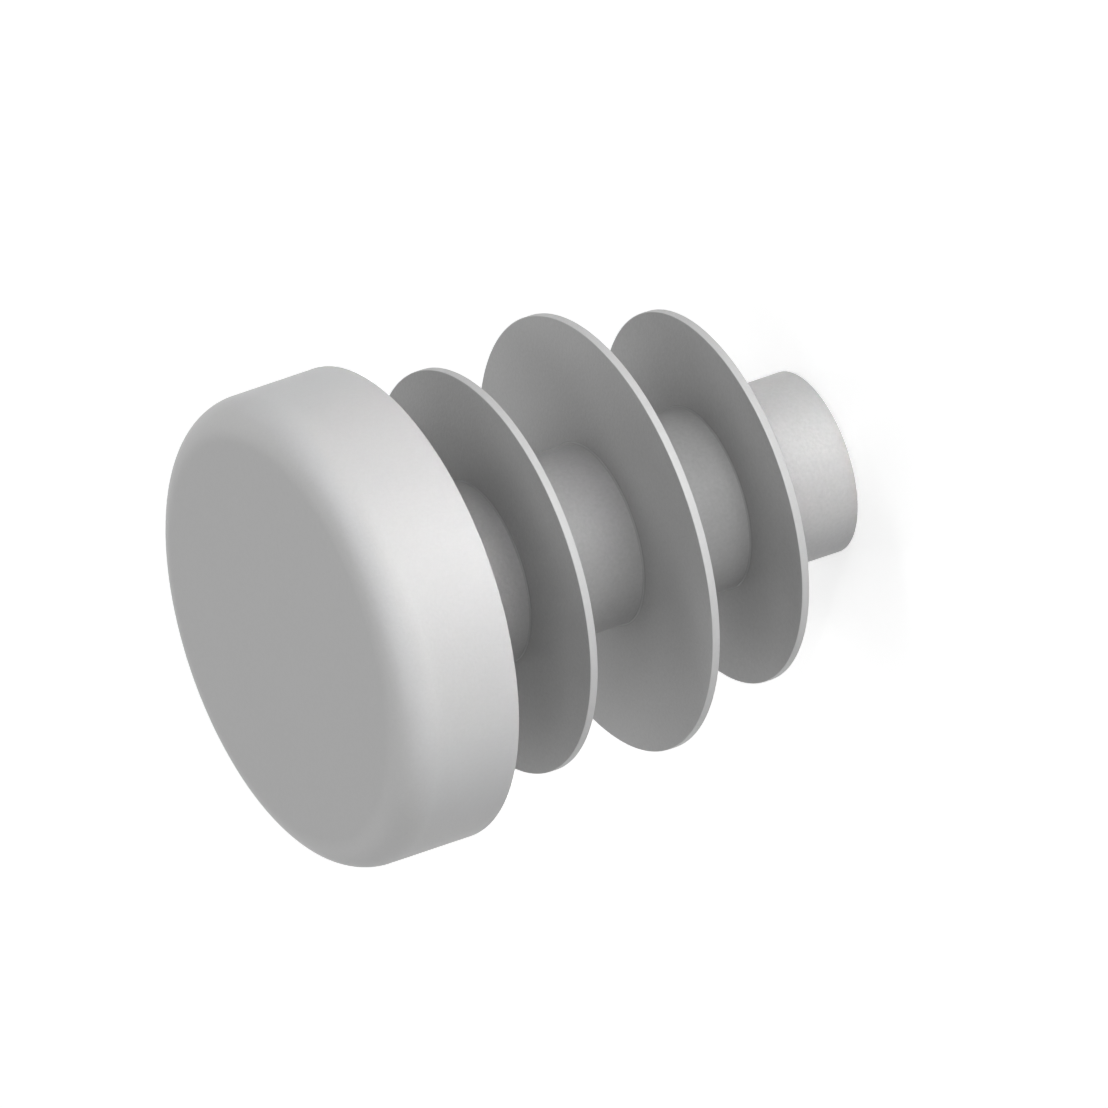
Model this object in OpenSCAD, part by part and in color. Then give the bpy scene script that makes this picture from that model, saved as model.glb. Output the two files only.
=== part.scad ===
// Push-in end cap for a round tube, moulded in one piece.
// A thick round head closes the tube. A solid stem below it carries three thin
// fins that bend in the bore and hold the cap in place.
// The origin is the centre of the seat, where the head meets the tube's end.
// +Z runs along the axis, from the stem to the face of the head.

/* [Head] */
// Diameter of the head, which matches the outside of the tube
head_d = 25; // [24:0.5:32]
// Height of the head above the tube's end
head_h = 6.8; // [4:0.1:10]
// Radius of the round between the head's face and its side
head_edge_r = 2; // [0.5:0.1:3.5]

/* [Stem] */
// Diameter of the stem
stem_d = 9.6; // [6:0.2:14]
// Length of the stem below the head
stem_l = 24.6; // [21:0.2:36]

/* [Fins] */
// Diameter of the gripping fin, a little more than the bore of the tube
grip_fin_d = 23.1; // [20:0.1:23.5]
// Step down in diameter to the fin beside the head, and one more to the end fin
fin_step_d = 1.7; // [0:0.1:2.5]
// Thickness of each fin
fin_t = 0.42; // [0.3:0.02:1]
// Distance from the seat to the fin beside the head
head_fin_z = 5.3; // [3:0.1:8]
// Distance from the seat to the gripping fin
grip_fin_z = 12; // [10:0.1:14]
// Distance from the seat to the end fin
end_fin_z = 18.3; // [16:0.1:19]

/* [Moulding] */
// Radius in the corners where the fins and the head meet the stem
root_r = 0.1; // [0.05:0.05:0.4]

/* [Smoothness] */
// Number of sides that draw a full circle
sides = 180; // [60:12:360]

/* [Hidden] */

head_r = head_d / 2;
stem_r = stem_d / 2;
// How deep a corner fill runs into the walls that it joins
bury = fin_t / 2;
// Each fin's distance from the seat and its radius, from the head to the end
fins = [
  [head_fin_z, grip_fin_d / 2 - fin_step_d / 2],
  [grip_fin_z, grip_fin_d / 2],
  [end_fin_z, grip_fin_d / 2 - fin_step_d]
];

// Concave round in the corner between a wall along +Y and a floor along +X
module corner_fill() {
  difference() {
    translate([-bury, -bury]) square(root_r + bury);
    translate([root_r, root_r]) circle(root_r, $fn = sides);
  }
}

// Half section of the head, with its seat on the X axis
module head_section() {
  square([head_r, head_h - head_edge_r]);
  square([head_r - head_edge_r, head_h]);
  translate([head_r - head_edge_r, head_h - head_edge_r]) circle(head_edge_r, $fn = sides);
  translate([stem_r, 0]) mirror([0, 1]) corner_fill();
}

// Half section of the stem
module stem_section() {
  translate([0, -stem_l]) square([stem_r, stem_l]);
}

// Half section of one fin, with the face nearest the head on the X axis
module fin_section(radius) {
  translate([0, -fin_t]) {
    square([radius, fin_t]);
    translate([stem_r, 0]) mirror([0, 1]) corner_fill();
  }
  translate([stem_r, 0]) corner_fill();
}

// The whole cap, turned from its half section
module end_cap() {
  color("silver")
    rotate_extrude($fn = sides)
      union() {
        head_section();
        stem_section();
        for (fin = fins) translate([0, -fin[0]]) fin_section(fin[1]);
      }
}

end_cap();
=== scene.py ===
import math

import bpy
from mathutils import Matrix, Vector


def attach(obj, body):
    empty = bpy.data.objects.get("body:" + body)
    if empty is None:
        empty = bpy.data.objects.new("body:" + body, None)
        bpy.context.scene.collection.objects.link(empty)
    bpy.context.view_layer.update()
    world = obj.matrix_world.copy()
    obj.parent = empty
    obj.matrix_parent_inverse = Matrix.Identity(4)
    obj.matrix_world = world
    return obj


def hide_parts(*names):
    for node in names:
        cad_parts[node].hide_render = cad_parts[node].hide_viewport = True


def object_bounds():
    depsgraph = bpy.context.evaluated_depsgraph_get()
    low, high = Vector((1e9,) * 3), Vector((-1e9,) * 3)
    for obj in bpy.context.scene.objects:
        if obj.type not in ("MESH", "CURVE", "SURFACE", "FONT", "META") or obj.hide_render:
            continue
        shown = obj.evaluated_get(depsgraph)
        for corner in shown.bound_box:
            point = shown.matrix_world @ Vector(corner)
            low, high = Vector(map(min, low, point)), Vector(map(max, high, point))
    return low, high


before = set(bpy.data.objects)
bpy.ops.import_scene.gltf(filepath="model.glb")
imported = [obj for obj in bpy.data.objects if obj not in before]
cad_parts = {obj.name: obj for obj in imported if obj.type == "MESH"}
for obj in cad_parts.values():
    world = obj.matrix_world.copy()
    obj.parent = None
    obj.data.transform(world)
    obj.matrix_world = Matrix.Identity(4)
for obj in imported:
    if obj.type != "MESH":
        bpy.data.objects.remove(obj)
cadLow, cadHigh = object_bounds()
mm = 0.001
milliwatt = 0.001
print("frame loaded: the cap is", round((cadHigh - cadLow).z / mm, 2), "mm long")


# a node tree with one way to add a node: its type, its settings, then its sockets by name
class Tree:
    def __init__(self, nodeTree):
        self.nodeTree = nodeTree

    def add(self, kind, settings=None, **sockets):
        node = self.nodeTree.nodes.new(kind)
        for name, value in (settings or {}).items():
            setattr(node, name, value)
        for name, value in sockets.items():
            self.feed(node.inputs[name.replace("_", " ")], value)
        return node

    # a socket takes a plain value, a link, or a wrapped value
    def feed(self, socket, value):
        source = value.socket if isinstance(value, Value) else value
        if isinstance(source, bpy.types.NodeSocket):
            self.nodeTree.links.new(source, socket)
        else:
            socket.default_value = source

    def value(self, socket):
        return Value(self, socket)

    # a Mix node repeats its sockets for each type of data, and these are the ones for colours
    def mix(self, share, first, second):
        node = self.add("ShaderNodeMix", {"data_type": "RGBA"})
        for index, value in ((0, share), (6, first), (7, second)):
            self.feed(node.inputs[index], value)
        return node.outputs[2]


# a number that varies over the surface, so that shader maths reads as plain expressions
class Value:
    def __init__(self, tree, socket):
        self.tree = tree
        self.socket = socket

    def maths(self, operation, first, second):
        node = self.tree.add("ShaderNodeMath", {"operation": operation})
        self.tree.feed(node.inputs[0], first)
        self.tree.feed(node.inputs[1], second)
        return Value(self.tree, node.outputs[0])

    def __add__(self, other):
        return self.maths("ADD", self, other)

    def __radd__(self, other):
        return self.maths("ADD", other, self)

    def __sub__(self, other):
        return self.maths("SUBTRACT", self, other)

    def __rsub__(self, other):
        return self.maths("SUBTRACT", other, self)

    def __mul__(self, other):
        return self.maths("MULTIPLY", self, other)

    def __rmul__(self, other):
        return self.maths("MULTIPLY", other, self)


def newMaterial(name):
    material = bpy.data.materials.new(name)
    material.use_nodes = True
    material.node_tree.nodes.clear()
    return material, Tree(material.node_tree)


def placeInScene(name, data):
    thing = bpy.data.objects.new(name, data)
    bpy.context.scene.collection.objects.link(thing)
    return thing


# Light grey polyethylene, moulded in a finely eroded tool
plastic = {
    "lightGrey": (0.5, 0.5, 0.5, 1),
    "darkGrey": (0.4, 0.4, 0.4, 1),
    "cloudsPerMetre": 160,     # slow drift of the colour
    "cloudShare": 0.25,
    "grainPerMetre": 5500,     # the tool's eroded texture, under 0.2 mm across
    "grainHeight": 0.02 * mm,
    "noiseDetail": 3.0,
    "headGrain": 0.35,         # the head, which stays in sight, is smoother than the stem and fins
    "grainStart": -1 * mm,     # height where the grain has its full strength
    "roughness": 0.52,
    "roughnessDrift": 0.07,
    "ior": 1.5,
    "rimHighlightGrey": (0.66, 0.66, 0.66, 1),     # painted highlight: the thin rims of the fins are lighter
    "creaseShadeGrey": (0.35, 0.35, 0.35, 1),  # painted shade: the creases on the stem are darker
}


def mouldedPlastic():
    material, tree = newMaterial("mouldedPlastic")
    place = tree.add("ShaderNodeTexCoord").outputs["Object"]

    # noise about its middle value, so that it makes the surface neither lighter nor darker
    def noise(scale):
        node = tree.add("ShaderNodeTexNoise", Vector=place, Scale=scale, Detail=plastic["noiseDetail"])
        return tree.value(node.outputs["Fac"]) - 0.5

    def attribute(name):
        return tree.add("ShaderNodeAttribute", {"attribute_name": name}).outputs["Fac"]

    drift = noise(plastic["cloudsPerMetre"])
    speck = noise(plastic["grainPerMetre"])
    height = tree.add("ShaderNodeSeparateXYZ", Vector=place).outputs["Z"]
    coarseness = tree.add("ShaderNodeMapRange", Value=height, From_Min=0.0, From_Max=plastic["grainStart"],
                          To_Min=plastic["headGrain"], To_Max=1.0)
    relief = tree.value(coarseness.outputs["Result"]) * speck
    mottling = 0.5 + plastic["cloudShare"] * drift + relief
    colour = tree.mix(mottling, plastic["darkGrey"], plastic["lightGrey"])
    # painted shade: the creases at the stem's roots are darker
    colour = tree.mix(attribute("corner"), colour, plastic["creaseShadeGrey"])
    # painted highlight: the rims of the fins are lighter
    colour = tree.mix(attribute("rim"), colour, plastic["rimHighlightGrey"])
    bump = tree.add("ShaderNodeBump", Height=relief, Distance=plastic["grainHeight"])
    roughness = plastic["roughness"] + plastic["roughnessDrift"] * (drift + speck)
    shader = tree.add("ShaderNodeBsdfPrincipled", Base_Color=colour, Roughness=roughness,
                      IOR=plastic["ior"], Normal=bump.outputs["Normal"])
    tree.add("ShaderNodeOutputMaterial", Surface=shader.outputs["BSDF"])
    return material


# The cap's half section, in millimetres. The seat, under the head, is at height 0.
cap = {
    "headRadius": 12.5,
    "headHeight": 6.8,
    "headEdge": 2.0,           # round between the face and the side
    "stemRadius": 4.8,
    "stemLength": 24.6,
    "finThickness": 0.42,
    "fins": [(5.3, 10.7), (12, 11.55), (18.3, 9.85)],  # distance from the seat, radius
    "rootRadius": 0.1,         # concave corners on the stem
    "edgeBreak": 0.03,         # the slight round that a mould leaves on a sharp edge
    "support": 0.02,           # straight length kept beside each round, so that flats shade flat
    "fewestArcPoints": 4.0,    # on the smallest round
    "arcPointsPerMm": 10,      # more for each millimetre of a round's radius
    "sides": 288,
    "spindle": 1.0,            # radius of the circle that the section is swept round
    "weld": 0.0001,            # closes the poles and the seam
}


# the half section's corners as (radius, height, round, kind), from the face to the stem's end
def sectionCorners():
    stem, root, edge = cap["stemRadius"], cap["rootRadius"], cap["edgeBreak"]
    corners = [(0, cap["headHeight"], 0, "axis"),
               (cap["headRadius"], cap["headHeight"], cap["headEdge"], "edge"),
               (cap["headRadius"], 0, edge, "edge"),
               (stem, 0, root, "root")]
    for distance, radius in cap["fins"]:
        near, far = -distance, -distance - cap["finThickness"]
        corners += [(stem, near, root, "root"), (radius, near, edge, "rim"),
                    (radius, far, edge, "rim"), (stem, far, root, "root")]
    return corners + [(stem, -cap["stemLength"], edge, "edge"), (0, -cap["stemLength"], 0, "axis")]


# the points to draw as (radius, height, round, rim, corner): the section's corners, and two
# on each straight between them; rim marks the painted highlight, corner the painted crease shade
def sectionPoints():
    corners = sectionCorners()
    points = [(*corners[0][:3], 0, 0)]
    for here, there in zip(corners, corners[1:]):
        start, end = Vector(here[:2]), Vector(there[:2])
        length = (end - start).length
        rim = int(here[3] == there[3] == "rim")
        for stop in (here[2] + cap["support"], length - there[2] - cap["support"]):
            points.append((*start.lerp(end, stop / length), 0, rim, 0))
        points.append((*there[:3], int(there[3] == "rim"), int(there[3] == "root")))
    return points


# Geometry Nodes round the section's corners and turn it about Z
def turningTree():
    group = bpy.data.node_groups.new("turnSection", "GeometryNodeTree")
    kinds = {"Section": "Geometry", "Sides": "Int", "Fewest Arc Points": "Float",
             "Arc Points Per Length": "Float", "Spindle": "Float", "Weld": "Float", "Material": "Material"}
    ids = {}
    for name, kind in kinds.items():
        socket = group.interface.new_socket(name, in_out="INPUT", socket_type="NodeSocket" + kind)
        ids[name] = socket.identifier
    group.interface.new_socket("Cap", in_out="OUTPUT", socket_type="NodeSocketGeometry")
    tree = Tree(group)
    given = tree.add("NodeGroupInput").outputs
    rounds = tree.add("GeometryNodeInputNamedAttribute", {"data_type": "FLOAT"}, Name="round")
    radius = tree.value(rounds.outputs["Attribute"])
    count = tree.value(given["Fewest Arc Points"]) + tree.value(given["Arc Points Per Length"]) * radius
    line = tree.add("GeometryNodeMeshToCurve", Mesh=given["Section"])
    rounded = tree.add("GeometryNodeFilletCurve", {"mode": "POLY"}, Curve=line.outputs["Curve"],
                       Count=count, Radius=radius, Limit_Radius=True)
    # a sweep wants the section lying down, and it is moved in by the spindle that it goes round
    inward = tree.add("ShaderNodeCombineXYZ", X=0 - tree.value(given["Spindle"]))
    laid = tree.add("GeometryNodeTransform", Geometry=rounded.outputs["Curve"],
                    Translation=inward.outputs["Vector"], Rotation=(math.radians(90), 0, 0))
    path = tree.add("GeometryNodeCurvePrimitiveCircle", {"mode": "RADIUS"}, Resolution=given["Sides"],
                    Radius=given["Spindle"])
    turned = tree.add("GeometryNodeCurveToMesh", Curve=path.outputs["Curve"],
                      Profile_Curve=laid.outputs["Geometry"], Fill_Caps=False)
    closed = tree.add("GeometryNodeMergeByDistance", Geometry=turned.outputs["Mesh"],
                      Distance=given["Weld"])
    smooth = tree.add("GeometryNodeSetShadeSmooth", Geometry=closed.outputs["Geometry"],
                      Shade_Smooth=True)
    realized = tree.add("GeometryNodeRealizeInstances", Geometry=smooth.outputs["Geometry"])
    finished = tree.add("GeometryNodeSetMaterial", Geometry=realized.outputs["Geometry"],
                        Material=given["Material"])
    tree.add("NodeGroupOutput", Cap=finished.outputs["Geometry"])
    return group, ids


def drawnSection():
    points = sectionPoints()
    section = bpy.data.meshes.new("capSection")
    section.from_pydata([(x * mm, 0, z * mm) for x, z, *_ in points],
                        [(i, i + 1) for i in range(len(points) - 1)], [])
    # rim and corner mark where the painted rim highlight and the painted crease shade go
    for name, values in (("round", [point[2] * mm for point in points]),
                         ("rim", [point[3] for point in points]),
                         ("corner", [point[4] for point in points])):
        section.attributes.new(name, "FLOAT", "POINT").data.foreach_set("value", values)
    return placeInScene("capSection", section)


def turnedCap(material):
    drawn = drawnSection()
    group, ids = turningTree()
    turning = drawn.modifiers.new("turning", "NODES")
    turning.node_group = group
    turning[ids["Sides"]] = cap["sides"]
    turning[ids["Fewest Arc Points"]] = cap["fewestArcPoints"]
    turning[ids["Arc Points Per Length"]] = cap["arcPointsPerMm"] / mm
    turning[ids["Spindle"]] = cap["spindle"] * mm
    turning[ids["Weld"]] = cap["weld"] * mm
    turning[ids["Material"]] = material
    bpy.context.view_layer.update()
    depsgraph = bpy.context.evaluated_depsgraph_get()
    mesh = bpy.data.meshes.new_from_object(drawn.evaluated_get(depsgraph), depsgraph=depsgraph)
    drawn.modifiers.remove(turning)
    bpy.data.objects.remove(drawn)
    return placeInScene("turned_cap", mesh)


piece = turnedCap(mouldedPlastic())
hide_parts("end_cap")
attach(piece, "root")
print("cap turned:", len(piece.data.polygons), "faces")


# The camera is parallel. Its place comes from the seat's centre and the head's width in the photograph.
lens = {
    "photoSide": 1108,         # pixels
    "headWidth": 493.5,        # pixels across the head's diameter
    "seatX": 392.55,           # the seat's centre, in pixels from the photograph's top left corner
    "seatY": 602.15,
    "azimuth": 0,
    "elevation": 25.09,
    "roll": -108.62,           # turn about the line of sight
    "distance": 0.5,
}


def photographCamera():
    turn = (Matrix.Rotation(math.radians(lens["azimuth"]), 3, "Z")
            @ Matrix.Rotation(math.radians(90 - lens["elevation"]), 3, "X")
            @ Matrix.Rotation(math.radians(lens["roll"]), 3, "Z"))
    right, up, back = turn.col
    metresPerPixel = 2 * cap["headRadius"] * mm / lens["headWidth"]
    middle = lens["photoSide"] / 2
    aim = (right * (middle - lens["seatX"]) - up * (middle - lens["seatY"])) * metresPerPixel
    data = bpy.data.cameras.new("photographCamera")
    data.type = "ORTHO"
    data.ortho_scale = lens["photoSide"] * metresPerPixel
    camera = placeInScene("photographCamera", data)
    camera.matrix_world = Matrix.Translation(aim + back * lens["distance"]) @ turn.to_4x4()
    bpy.context.scene.camera = camera


photographCamera()
print("camera set")


# 1 on the rays that the camera sees by, straight, by gloss or through, and 0 on those that light
def seenShare(tree):
    path = tree.add("ShaderNodeLightPath").outputs
    straight, reflected, through = (tree.value(path[name]) for name in
                                    ("Is Camera Ray", "Is Glossy Ray", "Is Transmission Ray"))
    return straight + reflected + through


# A pale floor. The camera sees it lifted to white, and it keeps the shadow.
floor = {
    "width": 6.0,
    "colour": (0.8, 0.8, 0.8, 1),
    "seenLift": 0.55,
}


def paleFloor():
    material, tree = newMaterial("paleFloor")
    paint = tree.add("ShaderNodeBsdfDiffuse", Color=floor["colour"])
    lift = tree.add("ShaderNodeEmission", Strength=floor["seenLift"] * seenShare(tree))
    both = tree.add("ShaderNodeAddShader")
    tree.feed(both.inputs[0], paint.outputs["BSDF"])
    tree.feed(both.inputs[1], lift.outputs["Emission"])
    tree.add("ShaderNodeOutputMaterial", Surface=both.outputs["Shader"])
    half = floor["width"] / 2
    corners = [(-half, -half), (half, -half), (half, half), (-half, half)]
    mesh = bpy.data.meshes.new("paleFloor")
    mesh.from_pydata([(x, y, cadLow.z) for x, y in corners], [], [(0, 1, 2, 3)])
    mesh.materials.append(material)
    placeInScene("paleFloor", mesh)


# Round soft panels that face the cap's axis. Around is 0 towards the camera and grows to the
# picture's top. A level of 1 shows a surface that faces the panel at its own colour.
panels = {
    "lowFront": {"around": 0, "above": 12, "halfAngle": 10, "level": 0.14},
    "frontLeft": {"around": -20, "above": 45, "halfAngle": 10, "level": 0.118},
    "frontRight": {"around": 60, "above": 45, "halfAngle": 10, "level": 0.136},
    "overhead": {"around": 0, "above": 90, "halfAngle": 18, "level": 0.062},
    "rearLeft": {"around": -150, "above": 35, "halfAngle": 18, "level": 0.144},
    "rearRight": {"around": 150, "above": 35, "halfAngle": 18, "level": 0.131},
    # a small card by the floor, near the cap, that lifts the rims of the fins
    "lowCard": {"around": 10, "above": -29, "halfAngle": 13, "level": 0.31,
                "distance": 51.5, "aimHeight": 3},
}
rig = {"distance": 500, "aimHeight": -8.9}  # millimetres, where a panel gives none of its own

# Narrow strips with a honeycomb grid, each on one band of the cap: the head, its side
# below the round, the stem under it, the stem above the middle fin, or the stem's end
bands = {
    "head": {"middle": 2.5, "height": 9, "above": 0},
    "side": {"middle": 1.8, "height": 5.6, "above": 0},
    "neck": {"middle": -2.6, "height": 4, "above": 0},
    "gap": {"middle": -9.3, "height": 4.6, "above": 0},
    "end": {"middle": -24.5, "height": 6.5, "above": 4},
}
strips = {
    "headLeft": {"band": "head", "around": -30, "milliwatts": 0.45},
    "headRight": {"band": "head", "around": 30, "milliwatts": 0.89},
    "headTop": {"band": "head", "around": 120, "milliwatts": 0.10},
    "headRear": {"band": "head", "around": 172, "milliwatts": 0.80},
    "neckFront": {"band": "neck", "around": 20, "milliwatts": 0.15},
    "gapFront": {"band": "gap", "around": 40, "milliwatts": 0.075},
    "endLeft": {"band": "end", "around": -30, "milliwatts": 0.22},
    "endRight": {"band": "end", "around": 30, "milliwatts": 0.67},
    "endRear": {"band": "end", "around": 172, "milliwatts": 0.60},
    # two short ones that make the highlights of the head and the stem's end
    "headGleam": {"band": "side", "around": 7, "milliwatts": 0.0095, "length": 7},
    "endGleam": {"band": "end", "around": 9, "milliwatts": 0.012, "length": 2},
}
grid = {"spread": 3, "distance": 60, "length": 60}
fill = {"grey": (1, 1, 1, 1), "strength": 0.2}


def newLight(name, shape, place, facing, watts, gloss=True):
    data = bpy.data.lights.new(name, "AREA")
    data.shape = shape
    data.energy = watts
    light = placeInScene(name, data)
    light.matrix_world = Matrix.Translation(place) @ facing
    light.visible_camera = False
    light.visible_glossy = gloss
    return data


def direction(around, above):
    turned = math.radians(lens["azimuth"] - 90 + around)
    rise = math.radians(above)
    return Vector((math.cos(rise) * math.cos(turned), math.cos(rise) * math.sin(turned), math.sin(rise)))


def softPanel(name, panel):
    towards = direction(panel["around"], panel["above"])
    distance = panel.get("distance", rig["distance"]) * mm
    aim = Vector((0, 0, panel.get("aimHeight", rig["aimHeight"]) * mm))
    half = math.radians(panel["halfAngle"])
    radius = distance * math.tan(half)
    watts = panel["level"] * (math.pi * radius / math.sin(half)) ** 2
    facing = towards.to_track_quat("Z", "Y").to_matrix().to_4x4()
    newLight(name, "DISK", aim + towards * distance, facing, watts).size = 2 * radius


def gridStrip(name, strip):
    band = bands[strip["band"]]
    towards = direction(strip["around"], band["above"])
    across = Vector((0, 0, 1)).cross(towards).normalized()
    facing = Matrix((across, towards.cross(across), towards)).transposed().to_4x4()
    place = Vector((0, 0, band["middle"] * mm)) + towards * grid["distance"] * mm
    data = newLight(name, "RECTANGLE", place, facing, strip["milliwatts"] * milliwatt, gloss=False)
    data.size, data.size_y = strip.get("length", grid["length"]) * mm, band["height"] * mm
    data.spread = math.radians(grid["spread"])


# the world fills in from all round, and the camera sees it white
def fillLight():
    world = bpy.data.worlds.new("fillLight")
    world.use_nodes = True
    world.node_tree.nodes.clear()
    tree = Tree(world.node_tree)
    seen = seenShare(tree)
    strength = seen + (1 - seen) * fill["strength"]
    sky = tree.add("ShaderNodeBackground", Color=fill["grey"], Strength=strength)
    tree.add("ShaderNodeOutputWorld", Surface=sky.outputs["Background"])
    bpy.context.scene.world = world


paleFloor()
for name, panel in panels.items():
    softPanel(name, panel)
for name, strip in strips.items():
    gridStrip(name, strip)
fillLight()
bpy.context.scene.view_settings.view_transform = "Standard"
print("floor and lights set")
